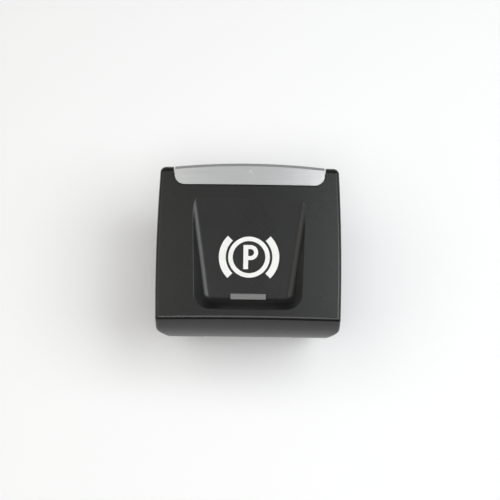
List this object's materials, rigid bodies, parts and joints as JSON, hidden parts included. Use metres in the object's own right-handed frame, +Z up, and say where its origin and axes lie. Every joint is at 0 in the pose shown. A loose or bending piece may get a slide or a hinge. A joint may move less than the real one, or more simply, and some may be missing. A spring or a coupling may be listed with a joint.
{
  "type": "electric parking brake switch",
  "caption": "Black centre-console rocker switch for an electric parking brake: a cap with a wedge-shaped finger recess and a silver pull edge, over a snap-in housing with a plug socket.",
  "frame": {"origin": "under the middle of the switch, on the surface that its base stands on", "axes": "+X to the right, +Y towards the silver pull edge, +Z up out of the console"},
  "size_m": [0.038, 0.0354, 0.025],
  "materials": {
    "cap_black": "fine satin grain, black",
    "trim_silver": "satin silver plating on plastic",
    "lens_grey": "smoked translucent grey",
    "diffuser_white": "milky translucent",
    "carrier_black": "plain moulded black",
    "housing_black": "plain moulded black",
    "board_green": "solder resist",
    "silicone_grey": "soft grey silicone",
    "carbon_black": "matt carbon",
    "guide_natural": "natural moulded plastic",
    "light_clear": "clear moulded plastic",
    "pin_brass": "tinned brass",
    "led_white": "white lamp chip",
    "chip_dark": "dark ceramic chip"
  },
  "bodies": {
    "base": {"housing": "housing_black", "base_cover": "housing_black", "circuit_board": "board_green", "contact_mat": "silicone_grey", "plunger_guide": "guide_natural", "light_guide": "light_clear", "indicator_led": "led_white", "symbol_led_left": "led_white", "symbol_led_right": "led_white", "terminal_pin_1": "pin_brass", "terminal_pin_2": "pin_brass", "terminal_pin_3": "pin_brass", "terminal_pin_4": "pin_brass", "terminal_pin_5": "pin_brass", "terminal_pin_6": "pin_brass", "resistor_1": "chip_dark", "resistor_2": "chip_dark", "resistor_3": "chip_dark", "resistor_4": "chip_dark"},
    "rocker": {"rocker_cap": "cap_black", "trim_bar": "trim_silver", "rocker_carrier": "carrier_black", "symbol_diffuser": "diffuser_white", "indicator_lens": "lens_grey"},
    "apply_key_left": {"apply_plunger_left": "guide_natural", "apply_contact_left": "carbon_black"},
    "release_key_left": {"release_plunger_left": "guide_natural", "release_contact_left": "carbon_black"},
    "apply_key_right": {"apply_plunger_right": "guide_natural", "apply_contact_right": "carbon_black"},
    "release_key_right": {"release_plunger_right": "guide_natural", "release_contact_right": "carbon_black"}
  },
  "joints": [
    {"name": "rocker_tilt", "type": "hinge", "parent": "base", "child": "rocker", "pos_m": [0, -0.004, 0.0179], "axis": [1, 0, 0], "range_deg": [-5, 7], "stiffness_Nm_per_rad": 0.3, "deforming": ["contact_mat"]},
    {"name": "apply_travel_left", "type": "slide", "parent": "base", "child": "apply_key_left", "axis": [0, 0, 1], "range_m": [-0.00076, 0.00056], "stiffness_N_per_m": 1, "springref_m": 0.00024},
    {"name": "release_travel_left", "type": "slide", "parent": "base", "child": "release_key_left", "axis": [0, 0, 1], "range_m": [-0.00081, 0.00113], "stiffness_N_per_m": 1, "springref_m": 0.00024},
    {"name": "apply_travel_right", "type": "slide", "parent": "base", "child": "apply_key_right", "axis": [0, 0, 1], "range_m": [-0.00076, 0.00056], "stiffness_N_per_m": 1, "springref_m": 0.00024},
    {"name": "release_travel_right", "type": "slide", "parent": "base", "child": "release_key_right", "axis": [0, 0, 1], "range_m": [-0.00081, 0.00113], "stiffness_N_per_m": 1, "springref_m": 0.00024}
  ],
  "couplings": [
    {"joint": "apply_travel_left", "follows": "rocker_tilt", "m_per_rad": -0.006},
    {"joint": "release_travel_left", "follows": "rocker_tilt", "m_per_rad": 0.009},
    {"joint": "apply_travel_right", "follows": "rocker_tilt", "m_per_rad": -0.006},
    {"joint": "release_travel_right", "follows": "rocker_tilt", "m_per_rad": 0.009}
  ]
}
